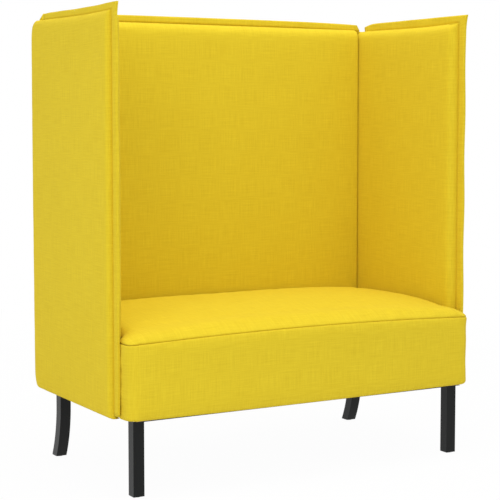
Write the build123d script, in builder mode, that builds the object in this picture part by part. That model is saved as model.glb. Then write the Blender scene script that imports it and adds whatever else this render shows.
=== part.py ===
"""High back settee: a timber and board carcass, foam pads, fabric covers, four square legs.

Millimetres, +Z up, the sitter faces -Y. The origin is on the floor, under the middle of the
settee. The right-hand pieces are modelled at +X and mirrored for the left.
"""

import os
from math import cos, radians, sin

from build123d import *

os.makedirs("parts", exist_ok=True)

# Overall sizes
overall_height = 1300
overall_depth = 646
inside_width = 1064

# Cloth and its clearances
cover_thickness = 1.5
soft_gap = 0.4
seam_gap = 0.6

# Seat
seat_frame_gap = 1
seat_box_overhang = 20
seat_rail_thickness = 25
seat_rail_height = 131.5
seat_front_pad = 25
seat_front_bow = 12
seat_front_corner = 30
seat_bottom_edge = 10
border_turn_under = 18
seam_above_rail = 85
seat_seam_arch = 14
seat_crown_rise = 41
seat_back_rise = 34
seat_side_drop = 22
seat_roll_length = 95
seat_roll_drop = 14
seat_roll_middle = (0.36, 0.62)
seat_crown_place = -10
seat_stations = 6
corner_block_side = 60
corner_block_height = 45

# Seat springing
spring_wire = 3.4
spring_pitch = 126
spring_half_width = 22
spring_loops = 10
clip_width = 14
clip_length = 22
clip_plate = 1.2
felt_thickness = 5

# Wings
wing_setback = 95
wing_inner_pad = 16
wing_board = 3
wing_timber = 16
wing_outer_pad = 13
wing_front_pad = 15
wing_rear_pad = 15
wing_post_width = 45
wing_rear_corner = 40
wing_low_rear_round = 60
wing_top_rear_round = 52
wing_frame_low_round = 45
wing_frame_top_round = 20
wing_inner_roll = 26
wing_outer_roll = 20

# Back
back_inner_pad = 26
back_board = 3
back_timber = 24
back_outer_pad = 19
back_post_width = 45
back_rail_height = 45
back_middle_rail_rise = 300
back_inner_roll = 24
back_side_roll = 10
back_outer_roll = 16

# Pads
pad_lip = 12
pad_crown = 3
pad_crown_reach = 150
pad_top_dip = 3
pad_corner = 7
pad_square_corner = 1
roll_steps = 5
crown_steps = 3

# Welts: padded flat bands that stand out of the joint between the pads
welt_thickness = 15
welt_reveal = 18
welt_front_reveal = 11
welt_step = 1.5
welt_foot_rise = 11
welt_rear_gap = 28
welt_end_slant = 10
welt_ear = 5
welt_ear_length = 30
welt_edge = 4
back_welt_overhang = 8
back_welt_slant = 9

# Legs
leg_side = 32
leg_height = 204.5
front_leg_setback = 46
rear_leg_setback = 51
rear_leg_sweep = 36.5
rear_leg_bend_height = 158
leg_edge = 0.8
glide_diameter = 22
glide_proud = 2
glide_recess = 3
plate_length = 60
plate_thickness = 4
plate_edge = 3
stud_diameter = 8
stud_in_leg = 34
stud_in_rail = 28
screw_diameter = 5
screw_head = 9.6
screw_length = 30
screw_inset = 10
dust_cover_thickness = 0.8

# Bolts between seat, back and wings
bolt_diameter = 8
bolt_head = 16
bolt_head_height = 5
insert_diameter = 12
seat_bolt_rise = 53.5
side_bolt_count = 3
side_bolt_margin = 33
back_bolt_count = 4
back_bolt_pitch = 260
post_bolt_count = 4
post_bolt_low = 140
post_bolt_high = 60

# Across the settee
inside_x = inside_width / 2
seat_frame_half_width = inside_x - seat_frame_gap
seat_box_half_width = inside_x + seat_box_overhang
side_rail_inner = seat_frame_half_width - seat_rail_thickness
wing_frame_inner = inside_x + wing_inner_pad
wing_timber_inner = wing_frame_inner + wing_board
wing_timber_outer = wing_timber_inner + wing_timber
wing_frame_outer = wing_timber_outer + wing_board
outer_x = wing_frame_outer + wing_outer_pad
welt_outer_x = wing_frame_outer + welt_step
welt_inner_x = welt_outer_x - welt_thickness
leg_x = seat_frame_half_width - leg_side / 2
spring_count = int(2 * side_rail_inner / spring_pitch)

# From front to rear
front_y = -overall_depth / 2
rear_y = overall_depth / 2
back_frame_rear = rear_y - back_outer_pad
back_timber_rear = back_frame_rear - back_board
back_timber_front = back_timber_rear - back_timber
back_frame_front = back_timber_front - back_board
inside_depth_line = back_frame_front - back_inner_pad
back_welt_centre = (back_frame_front + back_frame_rear) / 2
back_welt_front = back_welt_centre - welt_thickness / 2
back_welt_rear = back_welt_centre + welt_thickness / 2
wing_frame_front = front_y + wing_setback
wing_frame_rear = rear_y - wing_rear_pad
front_post_rear = wing_frame_front + wing_post_width
rear_post_front = wing_frame_rear - wing_post_width
wing_front_edge = wing_frame_front - wing_front_pad
welt_tip = wing_front_edge - welt_front_reveal
welt_rear_end = back_frame_front - welt_rear_gap
front_rail_face = front_y + seat_front_pad
front_rail_rear = front_rail_face + seat_rail_thickness
rail_rear = back_frame_front
rear_rail_front = rail_rear - seat_rail_thickness
seat_rear_face = inside_depth_line - soft_gap
front_leg_face = front_y + front_leg_setback
rear_leg_face = back_frame_front - rear_leg_setback
front_leg_y = front_leg_face + leg_side / 2
rear_leg_y = rear_leg_face + leg_side / 2
foot_y = rear_leg_y + rear_leg_sweep

# From the floor up
leg_top = leg_height
frame_bottom = leg_top + plate_thickness
seat_underside = frame_bottom - cover_thickness
rail_top = frame_bottom + seat_rail_height
clip_height = spring_wire + 2 * clip_plate
spring_level = rail_top + clip_height / 2
felt_bottom = rail_top + clip_height
felt_top = felt_bottom + felt_thickness
pad_bottom = rail_top + clip_height + soft_gap
seat_seam_height = rail_top + seam_above_rail
seat_crown_height = seat_seam_height + seat_crown_rise
seat_back_height = seat_seam_height + seat_back_rise
pad_top = overall_height - welt_reveal
frame_top = pad_top - pad_lip
welt_foot = seat_underside + welt_foot_rise
back_middle_rail_height = rail_top + back_middle_rail_rise
seat_bolt_height = frame_bottom + seat_bolt_rise


def spread(low, high, count):
    """Evenly spaced places from low to high, both ends included."""
    return [low + (high - low) * index / (count - 1) for index in range(count)]


side_bolt_places = spread(front_post_rear + side_bolt_margin, rear_rail_front - side_bolt_margin,
                          side_bolt_count)
back_bolt_reach = back_bolt_pitch * (back_bolt_count - 1) / 2
back_bolt_places = spread(-back_bolt_reach, back_bolt_reach, back_bolt_count)
post_bolt_heights = spread(rail_top + post_bolt_low, frame_top - post_bolt_high, post_bolt_count)


def write(piece, name):
    """Label one finished piece and write its STEP file."""
    piece.part.label = name
    export_step(piece.part, f"parts/{name}.step")


def write_pair(piece, name):
    """Write a right-hand piece and its mirror image for the left."""
    write(piece, f"right_{name}")
    with BuildPart() as twin:
        mirror(piece.part, about=Plane.YZ)
    write(twin, f"left_{name}")


def board(x_range, y_range, z_range):
    """Square-edged timber or sheet between two corners."""
    with BuildPart() as plank:
        with BuildSketch(Plane.XY.offset(z_range[0])):
            with Locations(((x_range[0] + x_range[1]) / 2, (y_range[0] + y_range[1]) / 2)):
                Rectangle(x_range[1] - x_range[0], y_range[1] - y_range[0])
        extrude(amount=z_range[1] - z_range[0])
    return plank.part


def rods(planes, radius, length):
    """Round bars or bores that start on each plane and run along its normal."""
    with BuildPart() as bars:
        for plane in planes:
            with BuildSketch(plane):
                Circle(radius)
            extrude(amount=length)
    return bars.part


def planes_along(direction, points):
    """One plane at each point, all facing the same way."""
    return [Plane(origin=point, z_dir=direction) for point in points]


def pad_face(plane, bounds, corners, dip):
    """Flat outline of a pad: rounded corners, top edge drawn in by dip at its middle."""
    left, right, low, high = bounds
    places = ((left, low), (right, low), (right, high), (left, high))
    with BuildSketch(plane) as face:
        with BuildLine():
            Polyline(places[3], places[0], places[1], places[2])
            ThreePointArc(places[2], ((left + right) / 2, high - dip), places[3])
        make_face()
        for place, radius in zip(places, corners):
            fillet(face.vertices().sort_by_distance(place)[0], radius)
    return face.sketch


def puffed_pad(plane, bounds, edge, rolls, corners, skin=0.0):
    """Pad on a plane: its sides roll over on a quarter ellipse, its face has a low round crown.

    rolls gives how far each side (left, right, low, high) draws in where it meets the face.
    skin shrinks the whole pad by a cover's thickness.
    """
    levels = []
    for step in range(roll_steps + 1):
        turn = radians(90 * step / roll_steps)
        levels.append(((edge - skin) * sin(turn), [roll * (1 - cos(turn)) for roll in rolls]))
    for step in range(1, crown_steps + 1):
        share = step / crown_steps
        height = edge - skin + pad_crown * (1 - (1 - share) ** 2)
        levels.append((height, [roll + share * pad_crown_reach for roll in rolls]))
    faces = []
    for height, insets in levels:
        left, right, low, high = (inset + skin for inset in insets)
        inner = (bounds[0] + left, bounds[1] - right, bounds[2] + low, bounds[3] - high)
        faces.append(pad_face(plane.offset(height), inner, corners, pad_top_dip))
    with BuildPart() as pad:
        loft(sections=faces, ruled=True)
    return pad.part


# Legs and their fixings
with BuildPart() as leg_front_right:
    with BuildSketch(Plane.XY.offset(glide_proud)):
        with Locations((leg_x, front_leg_y)):
            Rectangle(leg_side, leg_side)
    extrude(amount=leg_top - glide_proud)
    chamfer(leg_front_right.edges().filter_by(Axis.Z), leg_edge)
    add(rods(planes_along((0, 0, -1), [(leg_x, front_leg_y, leg_top)]), stud_diameter / 2, stud_in_leg),
        mode=Mode.SUBTRACT)
    add(rods(planes_along((0, 0, 1), [(leg_x, front_leg_y, glide_proud)]), glide_diameter / 2, glide_recess),
        mode=Mode.SUBTRACT)

with BuildPart() as leg_rear_right:
    with BuildSketch(Plane.YZ.offset(leg_x - leg_side / 2)):
        with BuildLine():
            front_edge = Line((rear_leg_face, leg_top), (rear_leg_face, rear_leg_bend_height))
            front_sweep = TangentArc((rear_leg_face, rear_leg_bend_height),
                                     (rear_leg_face + rear_leg_sweep, glide_proud), tangent=(0, -1))
            Line(front_sweep @ 1, front_sweep @ 1 + Vector(leg_side, 0))
            rear_sweep = TangentArc((rear_leg_face + leg_side, rear_leg_bend_height),
                                    front_sweep @ 1 + Vector(leg_side, 0), tangent=(0, -1))
            Line(rear_sweep @ 0, (rear_leg_face + leg_side, leg_top))
            Line((rear_leg_face + leg_side, leg_top), front_edge @ 0)
        make_face()
    extrude(amount=leg_side)
    add(rods(planes_along((0, 0, -1), [(leg_x, rear_leg_y, leg_top)]), stud_diameter / 2, stud_in_leg),
        mode=Mode.SUBTRACT)
    add(rods(planes_along((0, 0, 1), [(leg_x, foot_y, glide_proud)]), glide_diameter / 2, glide_recess),
        mode=Mode.SUBTRACT)

write(leg_front_right, "leg_front_right")
write(leg_rear_right, "leg_rear_right")
with BuildPart() as leg_front_left:
    mirror(leg_front_right.part, about=Plane.YZ)
write(leg_front_left, "leg_front_left")
with BuildPart() as leg_rear_left:
    mirror(leg_rear_right.part, about=Plane.YZ)
write(leg_rear_left, "leg_rear_left")

sides = (1, -1)
with BuildPart() as leg_glides:
    for side in sides:
        for y in (front_leg_y, foot_y):
            with BuildSketch(Plane.XY):
                with Locations((side * leg_x, y)):
                    Circle(glide_diameter / 2)
            extrude(amount=glide_proud + glide_recess)
write(leg_glides, "leg_glides")

# Each plate lies inward of its leg, flush with the leg's outer side.
plate_outer = leg_x + leg_side / 2
plate_inner = plate_outer - plate_length
front_plate = (front_leg_face, front_leg_face + plate_length)
rear_plate = (rear_leg_face + leg_side - plate_length, rear_leg_face + leg_side)
plates = [(side, span) for side in sides for span in (front_plate, rear_plate)]


def plate_middle(side, span):
    """Centre of one leg plate, seen from above."""
    return side * (plate_outer + plate_inner) / 2, (span[0] + span[1]) / 2


screw_reach = plate_length / 2 - screw_inset
screw_points = []
for side, span in plates:
    middle_x, middle_y = plate_middle(side, span)
    for step_x, step_y in ((1, 1), (-1, 1), (-1, -1), (1, -1)):
        near_leg = step_x * side > 0 and (step_y < 0) == (span is front_plate)
        if not near_leg:
            screw_points.append((middle_x + step_x * screw_reach, middle_y + step_y * screw_reach))
stud_points = [(side * leg_x, y) for side in sides for y in (front_leg_y, rear_leg_y)]

with BuildPart() as leg_plates:
    for side, span in plates:
        with BuildSketch(Plane.XY.offset(leg_top)):
            with Locations(plate_middle(side, span)):
                RectangleRounded(plate_length, plate_length, plate_edge)
        extrude(amount=plate_thickness)
    add(rods(planes_along((0, 0, 1), [(x, y, leg_top) for x, y in stud_points]),
             stud_diameter / 2, plate_thickness), mode=Mode.SUBTRACT)
    add(rods(planes_along((0, 0, 1), [(x, y, leg_top) for x, y in screw_points]),
             screw_diameter / 2, plate_thickness), mode=Mode.SUBTRACT)
write(leg_plates, "leg_plates")

leg_studs_part = rods(planes_along((0, 0, 1), [(x, y, leg_top - stud_in_leg) for x, y in stud_points]),
                      stud_diameter / 2, stud_in_leg + plate_thickness + stud_in_rail)
with BuildPart() as leg_studs:
    add(leg_studs_part)
write(leg_studs, "leg_studs")

head_height = (screw_head - screw_diameter) / 2
with BuildPart() as plate_screws:
    for x, y in screw_points:
        with BuildSketch(Plane.XY.offset(leg_top - head_height)):
            with Locations((x, y)):
                Circle(screw_head / 2)
        extrude(amount=head_height)
        with BuildSketch(Plane.XY.offset(leg_top)):
            with Locations((x, y)):
                Circle(screw_diameter / 2)
        extrude(amount=screw_length)
write(plate_screws, "plate_screws")

leg_bores = leg_studs_part + plate_screws.part

# Bolts, their inserts and their bores
side_bolt_points = [(side * side_rail_inner, y, seat_bolt_height)
                    for side in sides for y in side_bolt_places]
back_bolt_points = [(x, rear_rail_front, seat_bolt_height) for x in back_bolt_places]
post_bolt_points = [(side * (wing_frame_inner - back_post_width), back_welt_centre, z)
                    for side in sides for z in post_bolt_heights]
insert_length = seat_rail_thickness
post_insert_length = wing_timber


def bolts(points, direction_of, shank):
    """Flat-headed bolts: head outside the point, shank along the direction."""
    with BuildPart() as set_of_bolts:
        for point in points:
            plane = Plane(origin=point, z_dir=direction_of(point))
            with BuildSketch(plane.offset(-bolt_head_height)):
                Circle(bolt_head / 2)
            extrude(amount=bolt_head_height)
            with BuildSketch(plane):
                Circle(bolt_diameter / 2)
            extrude(amount=shank)
    return set_of_bolts


def outward(point):
    """Direction from the middle of the settee to the side that the point is on."""
    return (1 if point[0] > 0 else -1, 0, 0)


def rearward(_):
    """Direction to the back of the settee."""
    return (0, 1, 0)


def inserts(points, direction_of, start, length):
    """Threaded sleeves that the bolts end in."""
    with BuildPart() as sleeves:
        for point in points:
            with BuildSketch(Plane(origin=point, z_dir=direction_of(point)).offset(start)):
                Circle(insert_diameter / 2)
                Circle(bolt_diameter / 2, mode=Mode.SUBTRACT)
            extrude(amount=length)
    return sleeves


seat_to_wing_bolts = bolts(side_bolt_points, outward, seat_rail_thickness + insert_length)
write(seat_to_wing_bolts, "seat_to_wing_bolts")
seat_to_back_bolts = bolts(back_bolt_points, rearward, seat_rail_thickness + insert_length)
write(seat_to_back_bolts, "seat_to_back_bolts")
post_bolt_start = back_post_width + wing_board
back_to_wing_bolts = bolts(post_bolt_points, outward, post_bolt_start + post_insert_length)
write(back_to_wing_bolts, "back_to_wing_bolts")

with BuildPart() as threaded_inserts:
    add(inserts(side_bolt_points, outward, seat_rail_thickness, insert_length).part)
    add(inserts(back_bolt_points, rearward, seat_rail_thickness + back_board,
                insert_length - back_board).part)
    add(inserts(post_bolt_points, outward, post_bolt_start, post_insert_length).part)
write(threaded_inserts, "threaded_inserts")

bolt_bores = seat_to_wing_bolts.part + seat_to_back_bolts.part + back_to_wing_bolts.part
bolt_bores += threaded_inserts.part

# Seat frame: four rails, a stretcher and glued corner blocks
rail_z = (frame_bottom, rail_top)

with BuildPart() as seat_front_rail:
    add(board((-seat_frame_half_width, seat_frame_half_width), (front_rail_face, front_rail_rear), rail_z))
    add(leg_bores, mode=Mode.SUBTRACT)
write(seat_front_rail, "seat_front_rail")

with BuildPart() as seat_rear_rail:
    add(board((-side_rail_inner, side_rail_inner), (rear_rail_front, rail_rear), rail_z))
    add(bolt_bores, mode=Mode.SUBTRACT)
    add(leg_bores, mode=Mode.SUBTRACT)
write(seat_rear_rail, "seat_rear_rail")

with BuildPart() as seat_side_rail:
    add(board((side_rail_inner, seat_frame_half_width), (front_rail_rear, rail_rear), rail_z))
    add(bolt_bores, mode=Mode.SUBTRACT)
    add(leg_bores, mode=Mode.SUBTRACT)
write_pair(seat_side_rail, "seat_rail")

stretcher_top = rail_top - seat_rail_thickness
with BuildPart() as seat_centre_rail:
    add(board((-seat_rail_thickness / 2, seat_rail_thickness / 2), (front_rail_rear, rear_rail_front),
              (frame_bottom, stretcher_top)))
write(seat_centre_rail, "seat_centre_rail")

with BuildPart() as seat_corner_blocks:
    for side in sides:
        corner_x = side * side_rail_inner
        for corner_y, inward in ((front_rail_rear, 1), (rear_rail_front, -1)):
            with BuildSketch(Plane.XY.offset(frame_bottom)):
                with BuildLine():
                    Polyline((corner_x, corner_y), (corner_x - side * corner_block_side, corner_y),
                             (corner_x, corner_y + inward * corner_block_side), close=True)
                make_face()
            extrude(amount=corner_block_height)
    add(leg_bores, mode=Mode.SUBTRACT)
write(seat_corner_blocks, "seat_corner_blocks")

# Springs: flat zigzag wire from the front rail to the rear rail, held in folded clips
spring_front = front_rail_face + clip_length / 2
spring_rear = rail_rear - clip_length / 2
loop_pitch = (spring_rear - spring_front) / (2 * spring_loops)
bend_radius = loop_pitch / 2
spring_places = [(index - (spring_count - 1) / 2) * spring_pitch for index in range(spring_count)]


def zigzag_spring(x_middle):
    """One wire: straight bars across, joined by half-turn bends, in two quarter turns each."""
    reach = spring_half_width - bend_radius
    with BuildPart() as wire_spring:
        with BuildLine(Plane.XY.offset(spring_level)) as path:
            for loop in range(2 * spring_loops + 1):
                y = spring_front + loop * loop_pitch
                side = 1 if loop % 2 else -1
                Line((x_middle + side * reach, y), (x_middle - side * reach, y))
                if loop < 2 * spring_loops:
                    tip = (x_middle - side * (reach + bend_radius), y + bend_radius)
                    RadiusArc((x_middle - side * reach, y), tip, side * bend_radius)
                    RadiusArc(tip, (x_middle - side * reach, y + loop_pitch), side * bend_radius)
        with BuildSketch(Plane(origin=path.wires()[0] @ 0, z_dir=path.wires()[0] % 0)):
            Circle(spring_wire / 2)
        sweep(path=path.wires()[0])
    return wire_spring.part


with BuildPart() as seat_springs:
    for place in spring_places:
        add(zigzag_spring(place))
write(seat_springs, "seat_springs")

with BuildPart() as spring_clips:
    for place in spring_places:
        for middle in (spring_front, spring_rear):
            toward_edge = -1 if middle < 0 else 1
            outer_edge = middle + toward_edge * clip_length / 2
            with BuildSketch(Plane.YZ.offset(place - clip_width / 2)):
                with Locations((middle, rail_top + clip_height / 2)):
                    Rectangle(clip_length - clip_plate, clip_height)
                with Locations((middle - toward_edge * clip_plate, rail_top + clip_height / 2)):
                    Rectangle(clip_length, spring_wire, mode=Mode.SUBTRACT)
            extrude(amount=clip_width)
write(spring_clips, "spring_clips")

# Seat padding
with BuildPart() as seat_felt:
    add(board((-seat_frame_half_width + soft_gap, seat_frame_half_width - soft_gap),
              (front_rail_face, seat_rear_face), (felt_bottom, felt_top)))
write(seat_felt, "seat_felt")


def seat_plan(level, skin, rear):
    """Seat outline seen from above: bowed front, rounded front corners, narrower between the wings."""
    box_half = seat_box_half_width - skin
    neck_half = inside_x - soft_gap - skin
    shoulder = welt_tip - soft_gap - skin
    corner_y = front_y + seat_front_bow + skin
    with BuildSketch(Plane.XY.offset(level)) as plan:
        with BuildLine():
            ThreePointArc((-box_half, corner_y), (0, front_y + skin), (box_half, corner_y))
            Polyline((box_half, corner_y), (box_half, shoulder), (neck_half, shoulder), (neck_half, rear),
                     (-neck_half, rear), (-neck_half, shoulder), (-box_half, shoulder),
                     (-box_half, corner_y))
        make_face()
        front_corners = plan.vertices().group_by(Axis.Y)[0]
        fillet(front_corners, seat_front_corner - skin)
    return plan.sketch


def seam_height(reach):
    """Height of the seat's seam at a share of the box's half width: it arches up in the middle."""
    return seat_seam_height - seat_seam_arch * reach ** 2


def seat_crown(skin):
    """Seat top as a block: arcs from the front seam over the crown, lower towards both sides."""
    half = seat_box_half_width + seat_front_bow
    rear_limit = inside_depth_line + seat_front_bow
    faces = []
    for station in range(-seat_stations, seat_stations + 1):
        share = station / seat_stations
        reach = share * half / seat_box_half_width
        drop = seat_side_drop * abs(share) ** 3 + skin
        front = front_y + seat_front_bow * reach ** 2 + skin
        seam = seam_height(reach) - skin
        roll_top = seat_crown_height - seat_roll_drop - drop
        roll_end = (front + seat_roll_length, roll_top)
        roll_middle = (front + seat_roll_length * seat_roll_middle[0],
                       seam + (roll_top - seam) * seat_roll_middle[1])
        rear_top = (rear_limit, seat_back_height - drop)
        with BuildSketch(Plane.YZ.offset(half * share)) as profile:
            with BuildLine():
                Polyline((front, seam), (front, rail_top), (rear_limit, rail_top), rear_top)
                ThreePointArc(rear_top, (seat_crown_place, seat_crown_height - drop), roll_end)
                ThreePointArc(roll_end, roll_middle, (front, seam))
            make_face()
        faces.append(profile.sketch)
    with BuildPart() as crown:
        loft(sections=faces, ruled=True)
    return crown.part


def seat_upholstery(bottom, skin):
    """Everything from the bottom level up to the crown, inside the seat's plan outline."""
    with BuildPart() as solid:
        add(seat_crown(skin))
        with BuildPart(mode=Mode.INTERSECT):
            add(extrude(seat_plan(bottom, skin, seat_rear_face), amount=overall_height,
                        mode=Mode.PRIVATE))
    return solid.part


with BuildPart() as seat_foam:
    add(seat_upholstery(felt_top, cover_thickness))
write(seat_foam, "seat_foam")


with BuildPart() as under_seam:
    with BuildSketch(Plane.XZ):
        with BuildLine():
            arch_half = seat_box_half_width + seat_front_bow
            arch_end = seam_height(arch_half / seat_box_half_width)
            ThreePointArc((-arch_half, arch_end), (0, seat_seam_height), (arch_half, arch_end))
            Polyline((arch_half, arch_end), (arch_half, 0), (-arch_half, 0), (-arch_half, arch_end))
        make_face()
    extrude(amount=overall_depth, both=True)


def seat_border(skin):
    """Block behind the border cloth, from the underside to the seam, bottom edge rounded."""
    with BuildPart() as block:
        extrude(seat_plan(seat_underside + skin, skin, seat_rear_face),
                amount=seat_seam_height - seat_underside)
        fillet(block.faces().sort_by(Axis.Z)[0].edges(), seat_bottom_edge - skin)
        add(under_seam.part, mode=Mode.INTERSECT)
    return block.part


seat_shoulder = welt_tip - soft_gap
behind_shoulder = board((-outer_x, outer_x), (seat_shoulder, overall_depth), (0, overall_height))
seat_core = board((-seat_frame_half_width, seat_frame_half_width), (front_rail_face, rear_y),
                  (frame_bottom, felt_top))
with BuildPart() as seat_border_foam:
    add(seat_border(cover_thickness))
    split(bisect_by=Plane.XY.offset(felt_top), keep=Keep.BOTTOM)
    add(seat_core, mode=Mode.SUBTRACT)
    add(behind_shoulder, mode=Mode.SUBTRACT)
write(seat_border_foam, "seat_border_foam")

with BuildPart() as plate_notches:
    for side, span in plates:
        reach = sorted((side * (plate_inner - seam_gap), side * (plate_outer + seam_gap)))
        add(board(reach, (span[0] - seam_gap, span[1] + seam_gap), (0, frame_bottom)))

with BuildPart() as seat_border_cover:
    add(seat_border(0))
    add(seat_border(cover_thickness), mode=Mode.SUBTRACT)
    add(board((-seat_frame_half_width + border_turn_under, seat_frame_half_width - border_turn_under),
              (front_rail_face + border_turn_under, rear_y), (0, frame_bottom)), mode=Mode.SUBTRACT)
    add(seat_core, mode=Mode.SUBTRACT)
    add(behind_shoulder, mode=Mode.SUBTRACT)
    add(plate_notches.part, mode=Mode.SUBTRACT)
write(seat_border_cover, "seat_border_cover")

seam_end = seam_height(1)
with BuildPart() as seat_top_cover:
    add(seat_upholstery(seam_end, 0))
    add(seat_upholstery(seam_end - cover_thickness, cover_thickness), mode=Mode.SUBTRACT)
    add(under_seam.part, mode=Mode.SUBTRACT)
write(seat_top_cover, "seat_top_cover")

with BuildPart() as dust_cover:
    add(board((-seat_frame_half_width + seam_gap, seat_frame_half_width - seam_gap),
              (front_rail_face + seam_gap, rail_rear - seam_gap),
              (seat_underside - dust_cover_thickness, seat_underside)))
    add(plate_notches.part, mode=Mode.SUBTRACT)
write(dust_cover, "dust_cover")

# Back frame: two posts, three rails and a thin board on each side
back_half = wing_frame_inner
back_post_inner = back_half - back_post_width
timber_y = (back_timber_front, back_timber_rear)
with BuildPart() as back_post:
    add(board((back_post_inner, back_half), timber_y, (frame_bottom, frame_top)))
    add(bolt_bores, mode=Mode.SUBTRACT)
write_pair(back_post, "back_post")

between_posts = (-back_post_inner, back_post_inner)
with BuildPart() as back_top_rail:
    add(board(between_posts, timber_y, (frame_top - back_rail_height, frame_top)))
write(back_top_rail, "back_top_rail")
with BuildPart() as back_middle_rail:
    add(board(between_posts, timber_y, (back_middle_rail_height, back_middle_rail_height + back_rail_height)))
write(back_middle_rail, "back_middle_rail")
with BuildPart() as back_bottom_rail:
    add(board(between_posts, timber_y, rail_z))
    add(bolt_bores, mode=Mode.SUBTRACT)
write(back_bottom_rail, "back_bottom_rail")
with BuildPart() as back_inner_board:
    add(board((-back_half, back_half), (back_frame_front, back_timber_front), (frame_bottom, frame_top)))
    add(bolt_bores, mode=Mode.SUBTRACT)
write(back_inner_board, "back_inner_board")
with BuildPart() as back_outer_board:
    add(board((-back_half, back_half), (back_timber_rear, back_frame_rear), (frame_bottom, frame_top)))
write(back_outer_board, "back_outer_board")

# Back pads and covers
back_frame_space = board((-outer_x, outer_x), (back_frame_front, back_frame_rear), (frame_bottom, frame_top))
back_inner_plane = Plane(origin=(0, back_welt_front, 0), x_dir=(1, 0, 0), z_dir=(0, -1, 0))
back_outer_plane = Plane(origin=(0, back_welt_rear, 0), x_dir=(-1, 0, 0), z_dir=(0, 1, 0))
back_pad_half = inside_x + pad_crown - 2 * soft_gap
back_outer_half = wing_frame_inner - soft_gap


def back_pad(plane, half, low, edge, rolls, skin):
    """Pad on one face of the back, with the lip that closes over the frame's top."""
    with BuildPart() as pad:
        add(puffed_pad(plane, (-half, half, low, pad_top), edge, rolls, (pad_corner,) * 4, skin))
        add(back_frame_space, mode=Mode.SUBTRACT)
    return pad.part


def back_inner(skin):
    """Front pad of the back, between the wings and above the seat rail."""
    edge = back_welt_front - inside_depth_line - pad_crown
    return back_pad(back_inner_plane, back_pad_half, pad_bottom, edge,
                    (back_side_roll, back_side_roll, pad_corner, back_inner_roll), skin)


def back_outer(skin):
    """Rear pad of the back, over its whole height."""
    edge = rear_y - back_welt_rear - pad_crown
    return back_pad(back_outer_plane, back_outer_half, seat_underside, edge,
                    (back_outer_roll,) * 4, skin)


with BuildPart() as back_inner_foam:
    add(back_inner(cover_thickness))
write(back_inner_foam, "back_inner_foam")
with BuildPart() as back_inner_cover:
    add(back_inner(0))
    add(back_inner_foam.part, mode=Mode.SUBTRACT)
write(back_inner_cover, "back_inner_cover")
with BuildPart() as back_outer_foam:
    add(back_outer(cover_thickness))
write(back_outer_foam, "back_outer_foam")
with BuildPart() as back_outer_cover:
    add(back_outer(0))
    add(back_outer_foam.part, mode=Mode.SUBTRACT)
write(back_outer_cover, "back_outer_cover")

# Wing frame: posts, rails and a board on each side; the thick bottom rail reaches the seat rail
wing_length = (wing_frame_front, wing_frame_rear)
wing_timber_x = (wing_timber_inner, wing_timber_outer)
with BuildPart() as wing_outline:
    with BuildSketch(Plane.YZ.offset(wing_frame_inner)) as side_view:
        with Locations(((wing_frame_front + wing_frame_rear) / 2, (frame_bottom + frame_top) / 2)):
            Rectangle(wing_frame_rear - wing_frame_front, frame_top - frame_bottom)
        fillet(side_view.vertices().group_by(Axis.X)[-1].sort_by(Axis.Y)[0], wing_frame_low_round)
        fillet(side_view.vertices().group_by(Axis.X)[-1].sort_by(Axis.Y)[-1], wing_frame_top_round)
    extrude(amount=wing_frame_outer - wing_frame_inner)


def trimmed_board(x_range, y_range, z_range):
    """Wing timber or sheet, cut to the frame's rounded rear corners."""
    with BuildPart() as trimmed:
        add(board(x_range, y_range, z_range))
        add(wing_outline.part, mode=Mode.INTERSECT)
    return trimmed.part


with BuildPart() as wing_front_post:
    add(board(wing_timber_x, (wing_frame_front, front_post_rear), (frame_bottom, frame_top)))
write_pair(wing_front_post, "wing_front_post")
with BuildPart() as wing_rear_post:
    add(trimmed_board(wing_timber_x, (rear_post_front, wing_frame_rear), (frame_bottom, frame_top)))
    add(bolt_bores, mode=Mode.SUBTRACT)
write_pair(wing_rear_post, "wing_rear_post")
with BuildPart() as wing_top_rail:
    add(board(wing_timber_x, (front_post_rear, rear_post_front), (frame_top - wing_post_width, frame_top)))
write_pair(wing_top_rail, "wing_top_rail")
with BuildPart() as wing_bottom_rail:
    add(board((seat_frame_half_width, wing_timber_outer), (front_post_rear, rear_post_front), rail_z))
    add(bolt_bores, mode=Mode.SUBTRACT)
write_pair(wing_bottom_rail, "wing_bottom_rail")
with BuildPart() as wing_inner_board:
    add(trimmed_board((wing_frame_inner, wing_timber_inner), wing_length, (rail_top, frame_top)))
    add(bolt_bores, mode=Mode.SUBTRACT)
write_pair(wing_inner_board, "wing_inner_board")
with BuildPart() as wing_outer_board:
    add(trimmed_board((wing_timber_outer, wing_frame_outer), wing_length, (frame_bottom, frame_top)))
write_pair(wing_outer_board, "wing_outer_board")

# Welts
with BuildPart() as wing_welt:
    with BuildSketch(Plane.YZ.offset(welt_inner_x)):
        with BuildLine():
            Polyline((welt_rear_end - welt_end_slant, overall_height), (welt_rear_end, frame_top),
                     (wing_frame_front, frame_top), (wing_frame_front, welt_foot), (welt_tip, welt_foot),
                     (welt_tip, frame_top - welt_ear_length), (welt_tip - welt_ear, overall_height),
                     close=True)
        make_face()
    extrude(amount=welt_thickness)
    fillet(wing_welt.edges().filter_by(Axis.Z).group_by(Axis.Y)[0], welt_edge)
    fillet(wing_welt.edges().filter_by(Axis.Y).group_by(Axis.Z)[-1], welt_edge)
write_pair(wing_welt, "wing_welt")

with BuildPart() as back_welt:
    with BuildSketch(Plane.XZ.offset(-back_welt_rear)):
        with BuildLine():
            foot_half = back_half - soft_gap
            wide_half = foot_half + back_welt_overhang
            right_end = [(foot_half, frame_top), (foot_half, pad_top + soft_gap),
                         (wide_half, pad_top + soft_gap), (wide_half - back_welt_slant, overall_height)]
            left_end = [(-x, z) for x, z in reversed(right_end)]
            Polyline(*right_end, *left_end, close=True)
        make_face()
    extrude(amount=welt_thickness)
    fillet(back_welt.edges().filter_by(Axis.X).group_by(Axis.Z)[-1], welt_edge)
write(back_welt, "back_welt")

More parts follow.
